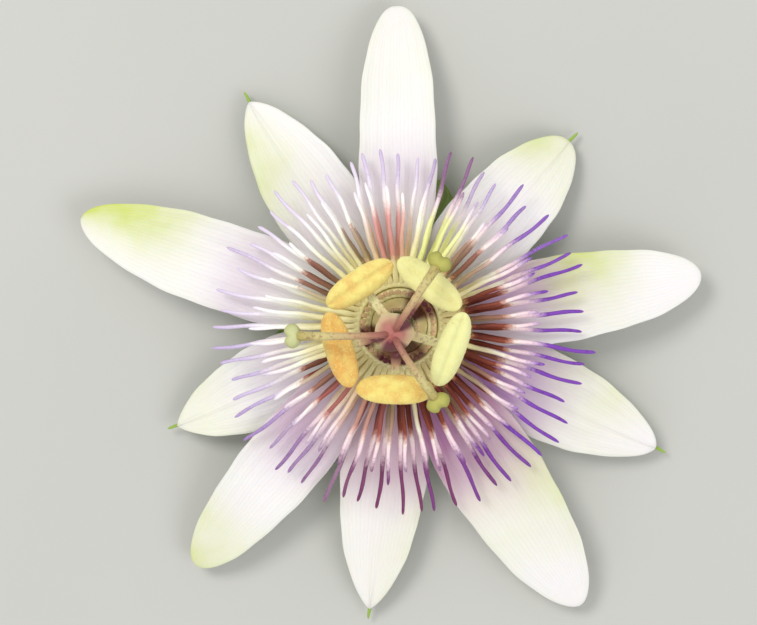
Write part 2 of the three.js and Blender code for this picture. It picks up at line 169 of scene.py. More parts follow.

# radius is a stigma's distance from the axis, and tone how deep its green is: its own olive,
# deepened by painted shade on the two stigmas away from the lit left side.
STIGMAS = [
    Form(azimuth=57, radius=11.5, tone=1),
    Form(azimuth=182, radius=13.7, tone=0.25),
    Form(azimuth=303, radius=11.2, tone=1),
]
STYLE = Form(root=0.78, thickness=0.5, waist=0.42, club=0.7, crest=(2.6, 27.5), sides=20, stations=64)
STIGMA = Form(
    height=21.7, radial=1.3, tangential=1.75, vertical=1.25, furrow=0.3, papilla=0.022,
    levels=72, sides=96,
)

# A bract comes down to the ground at share land of its length and leaves it at share leave.
BRACT = Form(
    count=3, azimuth=75, root=1.6, root_half=1.2, root_height=2.3, reach=21, width=12, thickness=0.7,
    land=0.5, leave=0.75, tip_rise=1.2, cupping=1.5, flat=0.34, rib=0.05, mesh=(72, 40),
)
PEDICEL = Form(radius=1.25, bottom=0.6, top=CUP_BOTTOM - CLEARANCE)

# Colours from a piece's root to its tip, and pale ones for where its tone is 0. On the crown, the
# ovary, the stamens' roots and in part the stigmas, tone is painted shade: there the dark stops are
# painted shadow over the piece's own colour, and the pale ones its lit colour.
BANDED = {
    "corona_dark": dict(
        stops=[(0, "9a6c52"), (0.5, "8e5a4c"), (0.75, "7f3440"), (1, "521626")],
        pale=[(0, "faf4c6"), (0.5, "f6ebbc"), (0.75, "edd8a8"), (1, "e2bc94")],
    ),
    "operculum_skin": dict(
        stops=[(0, "e8dfaa"), (0.18, "a8704e"), (0.32, "6a3a28"), (0.7, "4a2420")],
        pale=[(0, "faf4c6"), (0.6, "f6e6b4"), (1, "e8c4a0")],
    ),
    "stamen_filament_skin": dict(
        stops=[(0, "5e2c30"), (0.36, "6c3838"), (0.52, "b4906e"), (0.66, "dfd9a2")],
        pale=[(0, "dcb898"), (0.3, "e2d4a2"), (0.5, "e8e4ac")],
        fleck="a8687a",
    ),
    "ovary_skin": dict(
        stops=[(0, "a8a67a"), (0.4, "8a6a5c"), (0.62, "602c38"), (0.95, "6e3040"), (1, "a45e58")],
        pale=[(0, "cdcf98"), (0.6, "d6c89e"), (0.8, "ceaa8c"), (1, "ac6a62")],
        roughness=0.55,
    ),
    "style_skin": dict(
        stops=[(0, "96584e"), (0.3, "a26c5c"), (0.55, "b79a70"), (0.8, "c9bd80"), (1, "ab9d58")],
        fleck="7c4048",
    ),
    "stigma_skin": dict(
        stops=[(0, "6f6f30"), (0.5, "9a9a48"), (1, "b3b05c")],
        pale=[(0, "9a9c6c"), (0.5, "b8bd88"), (1, "cbd1a2")],
        roughness=0.6, grain_size=0.18,
    ),
    "cup_skin": dict(
        stops=[(0, "8fa557"), (0.5, "9fb266"), (0.84, "a9bb70"), (0.9, "e2daa6"), (1, "e6dfae")],
    ),
}


def draw(i, channel):
    """A repeatable draw between 0 and 1 for item i and channel."""
    value = math.sin(i * 12.9898 + channel * 78.233) * 43758.5453
    return value - math.floor(value)


def bezier(a, b, c, t):
    return a * (1 - t) ** 2 + 2 * b * t * (1 - t) + c * t * t


def blend(a, b, t):
    return a + (b - a) * t


def smooth(low, high, x):
    t = np.clip((x - low) / (high - low), 0, 1)
    return t * t * (3 - 2 * t)


def ridge(x, width):
    """1 where x is 0, falling smoothly to 0 a few widths away."""
    return np.exp(-((x / width) ** 2))


def dome(x, least=0.0):
    """1 up to where x is 0, then rounding off until x is 1, where the square is least."""
    return np.sqrt(np.clip(1 - np.clip(x, 0, 1) ** 2, least, 1))


def rough(points, size, seed=0.0):
    """Smooth noise between about -1 and 1 at points in millimetres, with features of a given size."""
    x, y, z = (points[..., k] / size for k in range(3))
    total = np.sin(1.7 * x + 2.3 * y + seed) * np.cos(2.1 * z - 1.1 * x + 2 * seed)
    total += np.sin(2.9 * y - 1.3 * z + 3 * seed) * np.cos(3.1 * x + 0.7 * y + seed)
    total += 0.5 * np.sin(5.3 * x - 4.1 * y + 4.7 * z + 5 * seed)
    return total / 2.2


def new_object(name, data):
    made = bpy.data.objects.new(name, data)
    bpy.context.scene.collection.objects.link(made)
    return made


class Shape:
    """Points in millimetres, faces, and named numbers at the points, gathered into one mesh."""

    def __init__(self):
        self.points = []
        self.faces = []
        self.values = {}
        self.size = 0

    def add(self, points, faces, **values):
        points = np.asarray(points, float).reshape(-1, 3)
        self.points.append(points)
        self.faces += [[self.size + corner for corner in face] for face in faces]
        for name, value in values.items():
            value = np.broadcast_to(np.asarray(value, float), (len(points),))
            self.values.setdefault(name, []).append(value)
        self.size += len(points)

    def make(self, name, material, nodes, azimuth=0.0):
        """Turn the shape to its azimuth, make the object, and let it stand for the CAD nodes."""
        points = turned(np.concatenate(self.points), azimuth) * MM + AXIS
        mesh = bpy.data.meshes.new(name)
        mesh.from_pydata(points.tolist(), [], self.faces)
        for key, parts in self.values.items():
            layer = mesh.attributes.new(key, "FLOAT", "POINT")
            layer.data.foreach_set("value", np.concatenate(parts))
        mesh.polygons.foreach_set("use_smooth", [True] * len(mesh.polygons))
        mesh.materials.append(material)
        mesh.validate()
        mesh.update()
        piece = new_object(name, mesh)
        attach(piece, "root")
        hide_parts(*nodes)


def circle(sides):
    """The angles of a ring's corners, in radians."""
    return np.arange(sides) / sides * TURN


def turned(points, azimuth):
    angle = math.radians(azimuth)
    x, y = points[..., 0], points[..., 1]
    across = x * math.cos(angle) - y * math.sin(angle)
    along = x * math.sin(angle) + y * math.cos(angle)
    return np.stack([across, along, points[..., 2]], axis=-1)


def skin(rings):
    """Points and faces of a closed body through rings, an array of (rings, sides, 3)."""
    count, sides = rings.shape[:2]
    points = np.concatenate([rings.reshape(-1, 3), rings[:1].mean(axis=1), rings[-1:].mean(axis=1)])
    faces = []
    for k in range(count - 1):
        for i in range(sides):
            a, b = k * sides + i, k * sides + (i + 1) % sides
            faces.append((a, b, b + sides, a + sides))
    start, end = count * sides, count * sides + 1
    last = (count - 1) * sides
    for i in range(sides):
        after = (i + 1) % sides
        faces.append((start, after, i))
        faces.append((end, last + i, last + after))
    return points, faces


def along_skin(t, sides):
    """t at every point of a skin: that of each ring, then 0 and 1 at its ends."""
    return np.append(np.repeat(t, sides), [0, 1])


def sweep(path, across, up, sides):
    """Rings along a path, with half sizes across and up at each of its points."""
    travel = np.gradient(path, axis=0)
    travel /= np.linalg.norm(travel, axis=1, keepdims=True)
    side = np.array([0.0, 1.0, 0.0])
    wide = side - travel * (travel @ side)[:, None]
    wide /= np.linalg.norm(wide, axis=1, keepdims=True)
    high = np.cross(travel, wide)
    angle = circle(sides)
    wide = across[:, None] * wide
    high = up[:, None] * high
    rings = path[:, None, :] + np.cos(angle)[None, :, None] * wide[:, None, :]
    return rings + np.sin(angle)[None, :, None] * high[:, None, :]


def lathe(profile, sides, change=None):
    """Rings of a body turned about Z. change(angle, height) scales the radius."""
    angle = circle(sides)
    rings = []
    for radius, height in profile:
        grown = radius * (change(angle, height) if change else np.ones(sides))
        level = np.full(sides, height)
        rings.append(np.stack([grown * np.cos(angle), grown * np.sin(angle), level], axis=-1))
    return np.array(rings)


def wheel(section, sides, folds=0.0, fold_count=40):
    """Points and faces of a ring: a closed section of radii and heights turned about Z, in folds."""
    turn = circle(sides)
    swell = 1 + folds * np.cos(fold_count * turn)
    points = np.stack([
        np.outer(swell * np.cos(turn), section[:, 0]),
        np.outer(swell * np.sin(turn), section[:, 0]),
        np.outer(np.ones(sides), section[:, 1]),
    ], axis=-1)
    count = len(section)
    faces = []
    for k in range(sides):
        here, there = k * count, (k + 1) % sides * count
        for i in range(count):
            after = (i + 1) % count
            faces.append((here + i, there + i, there + after, here + after))
    return points.reshape(-1, 3), faces


def fine_profile(corners, steps):
    """A smooth line through corners, by a Catmull-Rom curve with a few steps between each two.

    A lathe's profile begins and ends on the axis, so the line stays a hair away from it.
    """
    least_radius = 0.02
    corners = np.array(corners, float)
    padded = np.concatenate([corners[:1], corners, corners[-1:]])
    line = []
    for k in range(len(corners) - 1):
        a, b, c, d = padded[k:k + 4]
        for s in range(steps):
            t = s / steps
            line.append(0.5 * (2 * b + (c - a) * t + (2 * a - 5 * b + 4 * c - d) * t ** 2
                               + (3 * b - a - 3 * c + d) * t ** 3))
    line.append(corners[-1])
    line = np.array(line)
    line[:, 0] = np.maximum(line[:, 0], least_radius)
    return line


# Materials

def paint(code):
    """A hex colour as Blender's linear numbers."""
    parts = [int(code[k:k + 2], 16) / 255 for k in (0, 2, 4)]
    return [p / 12.92 if p <= 0.04045 else ((p + 0.055) / 1.055) ** 2.4 for p in parts] + [1.0]


class Surface:
    """A plant material, put together from nodes round one Principled shader."""

    def __init__(self, name, roughness=0.5, sheen=0.0, scatter=0.0, scatter_size=1.0):
        self.material = bpy.data.materials.new(name)
        self.material.use_nodes = True
        self.tree = self.material.node_tree
        self.tree.nodes.clear()
        self.shader = self.node("ShaderNodeBsdfPrincipled", {
            "Roughness": roughness,
            "Sheen Weight": sheen,
            "Sheen Roughness": 0.5,
            "Subsurface Weight": scatter,
            "Subsurface Radius": (1.0, 0.7, 0.5),
            "Subsurface Scale": scatter_size * MM,
            "IOR": 1.4,
        })
        self.node("ShaderNodeOutputMaterial", {"Surface": self.shader.outputs[0]})

    def node(self, kind, inputs=None, **settings):
        made = self.tree.nodes.new(kind)
        for key, value in settings.items():
            setattr(made, key, value)
        for key, value in (inputs or {}).items():
            self.feed(made.inputs[key], value)
        return made

    def feed(self, socket, value):
        """Link a node's output to a socket, or set the socket to a number or a hex colour."""
        if isinstance(value, bpy.types.NodeSocket):
            self.tree.links.new(value, socket)
        elif isinstance(value, str):
            socket.default_value = paint(value)
        else:
            socket.default_value = value

    def value(self, name):
        return self.node("ShaderNodeAttribute", attribute_name=name).outputs["Fac"]

    def noise(self, size, detail=3.0):
        """Noise with features of a size in millimetres, over the object's own coordinates."""
        place = self.node("ShaderNodeTexCoord").outputs["Object"]
        inputs = {"Vector": place, "Scale": 1 / (size * MM), "Detail": detail}
        return self.node("ShaderNodeTexNoise", inputs).outputs["Fac"]

    def math(self, operation, a, b=0.0, clamp=False):
        made = self.node("ShaderNodeMath", {0: a, 1: b}, operation=operation)
        made.use_clamp = clamp
        return made.outputs[0]

    def times(self, a, b, clamp=False):
        return self.math("MULTIPLY", a, b, clamp)

    def between(self, value, low, high, out_low=0.0, out_high=1.0):
        inputs = {
            "Value": value, "From Min": low, "From Max": high, "To Min": out_low, "To Max": out_high,
        }
        return self.node("ShaderNodeMapRange", inputs, interpolation_type="SMOOTHSTEP").outputs[0]

    def mix(self, factor, a, b):
        return self.node("ShaderNodeMix", {0: factor, 6: a, 7: b}, data_type="RGBA").outputs[2]

    def ramp(self, factor, stops):
        """Colour by a factor, through stops of a position and a hex colour."""
        made = self.node("ShaderNodeValToRGB", {"Fac": factor})
        elements = made.color_ramp.elements
        for element, (position, code) in zip(elements, [stops[0], stops[-1]]):
            element.position = position
            element.color = paint(code)
        for position, code in stops[1:-1]:
            elements.new(position).color = paint(code)
        return made.outputs[0]

    def finish(self, colour, height=None, bump=0.3, depth=0.1, roughness=None):
        self.feed(self.shader.inputs["Base Color"], colour)
        if height is not None:
            inputs = {"Height": height, "Strength": bump, "Distance": depth * MM}
            self.feed(self.shader.inputs["Normal"], self.node("ShaderNodeBump", inputs).outputs[0])
        if roughness is not None:
            self.feed(self.shader.inputs["Roughness"], roughness)
        return self.material


def tepal_material(name, under, under_vein):
    """White and satin with fine veins, lilac by the corona and yellow-green where tinted."""
    s = Surface(name, roughness=0.5, sheen=0.12, scatter=0.22, scatter_size=1.2)
    drift = s.noise(5.0, detail=2.0)
    cloud = s.noise(9.0, detail=3.0)
    grain = s.noise(0.35, detail=4.0)
    lane = s.math("ADD", s.value("across"), s.between(drift, 0.2, 0.8, -0.022, 0.022))
    lines = s.math("SINE", s.times(lane, VEINS))
    veins = s.between(lines, 0.45, 1.0)
    white = s.mix(cloud, "edece6", "e8e5ea")
    lilac = s.times(s.value("lilac"), s.between(cloud, 0.2, 0.8, 0.6, 1.0), clamp=True)
    tinge = s.mix(s.value("rosy"), "ba7ac6", "c88fb0")
    # Away from the key light the lilac is stronger: partly its own tint, partly painted shade.
    tinge = s.mix(s.value("deep"), "d0b9cd", tinge)
    colour = s.mix(lilac, white, tinge)
    tint = s.times(s.value("green"), s.between(drift, 0.2, 0.85, 0.6, 1.1), clamp=True)
    colour = s.mix(tint, colour, "bfcc5a")
    colour = s.mix(s.times(veins, 0.16), colour, "d0cbdc")
    below = s.mix(s.between(lines, -0.4, 1.0), under, under_vein)
    below = s.mix(s.between(cloud, 0.3, 0.75, 0.0, 0.3), below, under_vein)
    below = s.mix(s.value("margin"), below, "eef0e2")
    colour = s.mix(s.value("under"), colour, below)
    colour = s.mix(s.value("hook"), colour, "8fae4a")
    height = s.math("ADD", s.times(veins, 0.7), s.times(grain, 0.35))
    shine = s.between(grain, 0.2, 0.8, 0.42, 0.6)
    return s.finish(colour, height, bump=0.35, depth=0.06, roughness=shine)


def corona_material():
    """Bands along each filament: tan root, maroon, pale middle, violet or plum tip."""
    s = Surface("corona_bands", roughness=0.42, sheen=0.06, scatter=0.12, scatter_size=0.5)
    grain = s.noise(0.4, detail=3.0)
    reach = s.math("ADD", s.value("reach"), s.between(grain, 0.2, 0.8, -0.014, 0.014))
    # The roots' cream is paler than their own: painted light where the anthers' shadow falls on them.
    strong = s.ramp(reach, [
        (0.2, "f4ebb4"), (0.3, "e6d498"), (0.335, "8c4a2c"), (0.352, "642010"),
        (0.485, "82361c"), (0.51, "bd8a7c"), (0.54, "f0e0de"), (0.585, "ecd2dc"),
    ])
    tip = s.mix(s.value("rosy"), "7a3fae", "75305f")
    strong = s.mix(s.between(reach, 0.585, 0.70), strong, tip)
    # The faint copy, near white, is taken by the filaments towards the key light: partly their own
    # paler colour, partly painted light.
    faint_and_lit = s.ramp(reach, [
        (0.2, "fbf4c0"), (0.32, "f9f0b8"), (0.355, "f4efb4"), (0.38, "efe6b6"), (0.44, "f0ebc6"),
        (0.47, "f4f4dc"), (0.53, "f8f7ee"), (0.64, "f3eff4"), (0.72, "dfd5e7"), (0.9, "cabbda"),
    ])
    colour = s.mix(s.between(reach, 0.50, 0.54, s.value("band"), s.value("tone")), faint_and_lit, strong)
    middle = s.times(s.between(reach, 0.28, 0.34), s.between(reach, 0.6, 0.5))
    colour = s.mix(s.times(middle, s.value("blush")), colour, "d88486")
    colour = s.mix(s.times(middle, s.value("lime")), colour, "e4ea8e")
    streak = s.times(s.between(grain, 0.5, 0.72), s.between(reach, 0.6, 0.72, 0.1, 0.45))
    colour = s.mix(s.times(streak, s.value("tone")), colour, "3a1040")
    return s.finish(colour, grain, bump=0.4, depth=0.05)


def speckled_material(name, base, other, fleck, fleck_size, amount):
    """Plant skin that drifts between two near colours, with flecks of a third."""
    s = Surface(name, roughness=0.45, sheen=0.05, scatter=0.15, scatter_size=0.8)
    cloud = s.noise(2.5, detail=3.0)
    fine = s.noise(fleck_size, detail=2.0)
    colour = s.mix(s.between(cloud, 0.3, 0.7), base, other)
    colour = s.mix(s.between(fine, 0.62 - amount, 0.70 - amount), colour, fleck)
    return s.finish(colour, s.noise(0.25, detail=4.0), bump=0.35, depth=0.05)


def banded_material(name, stops, pale=None, roughness=0.45, grain_size=0.3, fleck=None):
    """Colour by the piece's "along" value, with a fine grain. pale is for where "tone" is 0."""
    s = Surface(name, roughness=roughness, sheen=0.05, scatter=0.12, scatter_size=0.6)
    grain = s.noise(grain_size, detail=4.0)
    wobble = s.times(s.math("SUBTRACT", s.noise(1.2), 0.5), 0.18)
    along = s.math("ADD", s.value("along"), wobble)
    colour = s.ramp(along, stops)
    if pale:
        colour = s.mix(s.value("tone"), s.ramp(along, pale), colour)
    if fleck:
        colour = s.mix(s.between(s.noise(0.45, detail=2.0), 0.54, 0.68, 0.0, 0.55), colour, fleck)
    return s.finish(colour, grain, bump=0.4, depth=0.06)


def anther_material():
    """Pollen, from lemon to orange, where ripe, over a pale green body."""
    s = Surface("anther_pollen", roughness=0.75, sheen=0.2, scatter=0.1, scatter_size=0.6)
    grain = s.noise(0.22, detail=5.0)
    cloud = s.noise(1.6, detail=3.0)
    warm = s.math("ADD", s.value("warm"), s.between(cloud, 0.3, 0.75, -0.3, 0.35), clamp=True)
    pollen = s.mix(warm, "ebdc7e", "dda752")
    pollen = s.mix(s.between(grain, 0.5, 0.7, 0.0, 0.4), pollen, "fbee9c")
    body = s.mix(cloud, "eaecb4", "d9df9c")
    colour = s.mix(s.value("ripe"), body, pollen)
    return s.finish(colour, grain, bump=0.8, depth=0.12)


def leaf_material():
    """Pale green bract with a net of lighter veins."""
    s = Surface("bract_leaf", roughness=0.48, sheen=0.05, scatter=0.12, scatter_size=0.8)
    cloud = s.noise(4.0, detail=3.0)
    grain = s.noise(0.3, detail=3.0)
    base = s.mix(cloud, "8fa85c", "a9bd74")
    colour = s.mix(s.value("vein"), base, "cdd8a2")
    place = s.node("ShaderNodeTexCoord").outputs["Object"]
    inputs = {"Vector": place, "Scale": 1 / (0.9 * MM)}
    cells = s.node("ShaderNodeTexVoronoi", inputs, feature="DISTANCE_TO_EDGE")
    net = s.between(cells.outputs["Distance"], 0.0, 0.12, 1.0, 0.0)
    colour = s.mix(s.times(net, 0.2), colour, "b4c584")
    height = s.math("ADD", s.times(net, 0.35), s.times(grain, 0.3))
    return s.finish(colour, height, bump=0.35, depth=0.08)


# Pieces

def deepness_and_shade(azimuth):
    """1 where colours are deepest, partly their own, partly painted shade; 0 towards the key light."""
    return 0.5 + 0.5 * math.cos(azimuth - SHADED_DEEP_AZIMUTH)


def patchiness(azimuth, patches):
    """How strongly patches, rows of azimuth, half width and strength, colour each azimuth."""
    colour = 0.0
    for middle, half, strength in patches:
        away = np.abs((azimuth - middle + 180) % 360 - 180)
        colour = np.maximum(colour, strength * (1 - smooth(half * 0.6, half * 1.3, away)))
    return colour


def crown_shade(points):
    """1 in the crown's patches of painted shade round the column, 0 where it is pale."""
    return patchiness(np.degrees(np.arctan2(points[:, 1], points[:, 0])), CROWN_SHADE_PATCHES)


def rosiness(azimuth, chance):
    """1 where the corona's tips are plum, 0 where violet. chance, 0 to 1, shifts that a little."""
    return float(np.clip(2.2 * math.cos(azimuth - PLUM_AZIMUTH) - 1.2 + 0.5 * (chance - 0.5), 0, 1))


def half_width(tepal, u):
    """Half width of a petal or sepal at share u of its length."""
    rising = np.sin(np.clip(u / tepal.widest, 0, 1) * math.pi / 2)
    near = blend(tepal.share, 1, rising)
    t = np.clip((u - tepal.widest) / (1 - tepal.widest), 0, 1)
    far = (1 - t ** tepal.power) ** tepal.blunt
    return tepal.width / 2 * np.where(u <= tepal.widest, near, far)


def blade(rows, columns, middle, depth):
    """Both faces of a closed blade, meeting in a rounded rim, with u, v and under at its points.

    u runs from root to tip, v from -1 to 1 across, and under is 1 on the lower face.
    """
    s = np.linspace(0, 1, rows + 1)
    u = np.sin(s * math.pi / 2)[:, None] * np.ones(columns + 1)
    v = np.sin(np.linspace(-1, 1, columns + 1) * math.pi / 2) * np.ones((rows + 1, 1))
    x, y, z = middle(u, v)
    thick = depth(u, v) / 2
    top = np.stack([x, y, z + thick], axis=-1).reshape(-1, 3)
    low = np.stack([x, y, z - thick], axis=-1).reshape(-1, 3)
    count = len(top)
    below = np.arange(count, 2 * count).reshape(rows + 1, columns + 1)
    above = np.arange(count).reshape(rows + 1, columns + 1)
    below[:, 0], below[:, -1], below[0], below[-1] = above[:, 0], above[:, -1], above[0], above[-1]
    used = np.full(2 * count, -1)
    faces = []
    for i in range(rows):
        for j in range(columns):
            faces.append((above[i, j], above[i + 1, j], above[i + 1, j + 1], above[i, j + 1]))
            faces.append((below[i, j], below[i, j + 1], below[i + 1, j + 1], below[i + 1, j]))
    kept = np.unique(np.array(faces))
    used[kept] = np.arange(len(kept))
    faces = [tuple(int(used[k]) for k in face) for face in faces]
    points = np.concatenate([top, low])[kept]
    under = (kept >= count).astype(float)
    return points, faces, np.tile(u.ravel(), 2)[kept], np.tile(v.ravel(), 2)[kept], under


def rim(u, v, tip=0.03, root=0.02):
    """1 inside a blade, rounding off to 0 at its edges."""
    sides = np.sqrt(np.clip(1 - np.abs(v) ** 9, 0, 1))
    return sides * dome((u - 1 + tip) / tip) * dome((root - u) / root)


def make_tepal(name, form, tepal, material, index):
    tepal = Form(**vars(form), **vars(tepal))
    seed = 1.7 * index
    azimuth = math.radians(tepal.azimuth)

    def middle(u, v):
        half = np.maximum(half_width(tepal, u), 0.12)
        uneven = 1 + 0.012 * np.sin(17 * u + seed) + 0.008 * np.sin(41 * u + 2 * seed)
        y = half * v * uneven
        arc = np.sqrt(TEPAL_ROOT ** 2 - np.minimum(np.abs(y), TEPAL_ROOT * 0.9) ** 2) - TEPAL_ROOT
        x = blend(TEPAL_ROOT, tepal.reach, u) + arc * (1 - u) ** 3
        spine = bezier(tepal.root, tepal.arch, tepal.tip, u)
        cup = tepal.cupping * v * v * np.sin(math.pi * u)
        tilt = y * math.tan(math.radians(tepal.roll)) * u
        ripple = tepal.ripple * np.sin(3 * math.pi * u) * v
        margin = 0.16 * np.sin(13 * u + 3 * v + seed) * np.abs(v) ** 3 * np.sin(math.pi * u)
        furrow = -tepal.furrow * ridge(v, MIDRIB) * np.sin(math.pi * np.clip(u, 0, 0.97))
        veins = 0.035 * np.cos(v * 21) * np.sin(math.pi * u)
        return x, y, spine + cup + tilt + ripple + margin + furrow + veins

    def depth(u, v):
        body = blend(tepal.middle, tepal.edge, np.abs(v))
        body = body + tepal.keel * ridge(v, MIDRIB) * smooth(0.0, 0.15, u)
        return np.maximum(body * rim(u, v), 0.0)

    shape = Shape()
    points, faces, u, v, under = blade(*TEPAL_MESH, middle, depth)
    # The lilac foot is stronger and longer away from the key light: partly its own tint, partly
    # painted shade.
    deep = deepness_and_shade(azimuth)
    strength, edge = tepal.lilac
    foot = blend(smooth(0.18, 0.4, u), 1, smooth(0.2, 0.7, deep))
    lilac = strength * (1 + edge * v) * foot * (1 - smooth(0.25, blend(0.6, 0.66, deep), u)) + 0.05
    lean = 0.5 + 0.5 * np.clip(tepal.side * v * 1.4 + (1 - abs(tepal.side)), -1, 1)
    tint = smooth(tepal.start, tepal.start + 0.4, u)
    tint = tint * (1 - smooth(tepal.end, tepal.end + 0.3, u))
    green = tepal.green * tint * lean + 0.14 * np.abs(v) ** 4 * smooth(0.2, 0.5, u)
    margin = smooth(0.7, 0.97, np.abs(v)) * 0.8
    shape.add(points, faces, across=v, under=under, margin=margin, lilac=lilac, deep=deep,
              rosy=rosiness(azimuth, 0.5), green=green, hook=0.0)
    if tepal.keel:
        add_awn(shape, tepal)
    shape.make(name, material, [name], tepal.azimuth)


def add_awn(shape, tepal):
    """The small green hook that carries on from a sepal's keel past its tip."""
    root = CUP_RADIUS + CLEARANCE
    reach, tip = tepal.reach, tepal.tip
    start_x = reach - AWN.back
    start_u = (start_x - root) / (reach - root)
    spine = bezier(tepal.root, tepal.arch, tip, start_u)
    t = np.linspace(0, 1, AWN.stations)
    path = np.stack([
        bezier(start_x, reach - 0.6, reach + AWN.past, t),
        0.12 * np.sin(5 * t),
        bezier(spine - tepal.middle / 2, tip - 0.4, tip - AWN.drop, t),
    ], axis=1)
    radius = blend(AWN.thick, AWN.thin, t) * dome((t - 0.9) / 0.1, 0.02) * smooth(-0.15, 0.4, t)
    points, faces = skin(sweep(path, radius, radius, AWN.sides))
    hook = smooth(0.1, 0.6, along_skin(t, AWN.sides))
    plain = dict.fromkeys(["across", "margin", "lilac", "deep", "rosy", "green"], 0.0)
    shape.add(points, faces, under=1.0, hook=hook, **plain)


def add_filament(shape, row, i):
    form = LONG_FILAMENT

    def chance(channel):
        return draw(i, row.seed + channel)

    angle = TURN * i / row.count
    lean = row.lean * math.cos(angle - LEAN_AZIMUTH)
    reach = row.tip[0] + lean + row.length_spread * (chance(0) - 0.5)
    height = row.tip[1] + row.height_spread * (chance(1) - 0.5)
    sway = row.sway * (chance(2) - 0.5)
    t = 1 - (1 - np.linspace(0, 1, form.stations)) ** 1.35
    phase = TURN * chance(4)
    wave = form.wave * t ** 1.5 * np.sin(TURN * 2.4 * t + phase)
    curl = form.curl * t ** 2 * np.cos(TURN * 1.9 * t + 2 * phase)
    path = np.stack([
        bezier(row.root[0], row.bend[0], reach, t),
        bezier(0, sway * 0.2, sway, t) + wave,
        bezier(row.root[1], row.bend[1], height, t) + curl,
    ], axis=1)
    stout = blend(0.95, 1.1, chance(5))
    knots = 1 + form.knots * np.sin(t * 37 + phase)
    closing = dome((t - 0.965) / 0.035, 0.015)
    radius = stout * knots * closing * blend(form.base, form.tip, t ** 1.2)
    points, faces = skin(sweep(path, radius * 1.05, radius * 0.92, form.sides))
    reached = np.hypot(points[:, 0], points[:, 1]) / CORONA_SCALE
    reached = reached + 0.03 * (chance(6) - 0.5)
    # deep, tone and band rise on the side away from the key light: partly the corona's own colour,
    # partly painted shade.
    deep = deepness_and_shade(angle)
    tone = np.clip(1.6 * deep - 0.15 + 0.6 * (chance(7) - 0.5) * (1 - deep), 0, 1)
    band = smooth(0.3, 0.7, blend(-0.1, 0.93, deep) + chance(9) - 0.5)
    azimuth = math.degrees(angle)
    lime = patchiness(azimuth, LIME_PATCHES)
    plum = patchiness(azimuth, PLUM_PATCHES)
    shape.add(
        turned(points, azimuth), faces, reach=reached, lime=lime,
        band=max(band * (1 - lime), patchiness(azimuth, CORONA_PATCHES)),
        blush=patchiness(azimuth, BLUSH_PATCHES),
        tone=max(tone, plum),
        rosy=max(plum, rosiness(angle, chance(8))),
    )


def make_long_corona(name, row, material):
    shape = Shape()
    reach = row.ring[0] / CORONA_SCALE
    add_ring(shape, row.ring, reach=reach, tone=0.5, band=0.5, blush=0.0, lime=0.0, rosy=0.0)
    for i in range(row.count):
        add_filament(shape, row, i)
    shape.make(name, material, [name])


def add_ring(shape, ring, **values):
    """A ring of rounded section that grows from the cup. Its tone is the crown's if none is given."""
    inner, outer, top = ring
    bottom = CUP_TOP - SINK
    sides, corners, squareness = 96, 16, 0.6
    around = circle(corners)
    across = np.sign(np.cos(around)) * np.abs(np.cos(around)) ** squareness
    level = np.sign(np.sin(around)) * np.abs(np.sin(around)) ** squareness
    radius = (inner + outer) / 2 + (outer - inner) / 2 * across
    height = (bottom + top) / 2 + (top - bottom) / 2 * level
    points, faces = wheel(np.stack([radius, height], axis=1), sides)
    # Unless given, tone is the crown's painted shade.
    values.setdefault("tone", crown_shade(points))
    shape.add(points, faces, **values)


def add_hair(shape, path, radius, row, i, **values):
    """Hair i of a row on the crown, whose patches of painted shade colour it."""
    points, faces = skin(sweep(path, radius, radius, row.sides))
    points = turned(points, 360 * i / row.count)
    shape.add(points, faces, tone=crown_shade(points), **values)


def make_inner_corona(material):
    row = INNER_CORONA
    shape = Shape()
    add_ring(shape, row.ring, along=0.0)
    for i in range(row.count):
        height = row.height + row.height_spread * (draw(i, row.seed) - 0.5)
        t = np.linspace(0, 1, row.stations)
        path = np.stack([
            bezier(row.root, row.root, row.head, t),
            0.1 * np.sin(4 * t + i),
            bezier(SEAT + 0.3, blend(row.ring[2], height, 0.5), height, t),
        ], axis=1)
        knob = row.knob * dome(np.abs(t - 0.87) / 0.13)
        radius = np.maximum(blend(*row.stalk, t) * (t < 0.99) + 0.01, knob)
        add_hair(shape, path, radius, row, i, along=along_skin(t, row.sides))
    shape.make("corona_inner", material, ["corona_inner"])


def make_operculum(material):
    shape = Shape()
    foot = CUP_TOP - SINK
    corners = [(3.35, foot), (3.85, foot), (3.8, SEAT + 0.8), (2.8, SEAT + 2.05), (2.35, SEAT + 1.8),
               (3.2, SEAT + 0.7), (3.35, foot)]
    line = fine_profile(corners, 5)[:-1]
    sides, height = 120, FRINGE.tip[1] - SEAT
    points, faces = wheel(line, sides, folds=0.012)
    along = np.tile((line[:, 1] - SEAT) / height, sides)
    # The crown's patches of painted shade darken the operculum where shadows fall on it.
    shape.add(points, faces, along=along, tone=crown_shade(points))
    for i in range(FRINGE.count):
        add_fringe_hair(shape, FRINGE, i)
    shape.make("operculum", material, ["operculum"])


def add_fringe_hair(shape, row, i):
    t = np.linspace(0, 1, row.stations)
    bow = 0.25 * (draw(i, row.seed) - 0.3)
    tall = row.tip[1] + 0.35 * (draw(i, row.seed + 1) - 0.7)
    path = np.stack([
        bezier(row.root[0], row.root[0] + bow, row.tip[0], t),
        0.08 * np.sin(5 * t + i),
        bezier(row.root[1], row.root[1] + 0.7, tall, t),
    ], axis=1)
    add_hair(shape, path, blend(row.thick, row.thin, t), row, i, along=1.0)


def make_lathe(name, corners, material, change, sides=72, steps=8):
    line = fine_profile(corners, steps)
    points, faces = skin(lathe(line, sides, change))
    low, high = line[:, 1].min(), line[:, 1].max()
    shape = Shape()
    # tone is the crown's painted shade; of these skins only the ovary's shows it, on its lower flank.
    shape.add(points, faces, along=(points[:, 2] - low) / (high - low), tone=crown_shade(points))
    shape.make(name, material, [name])


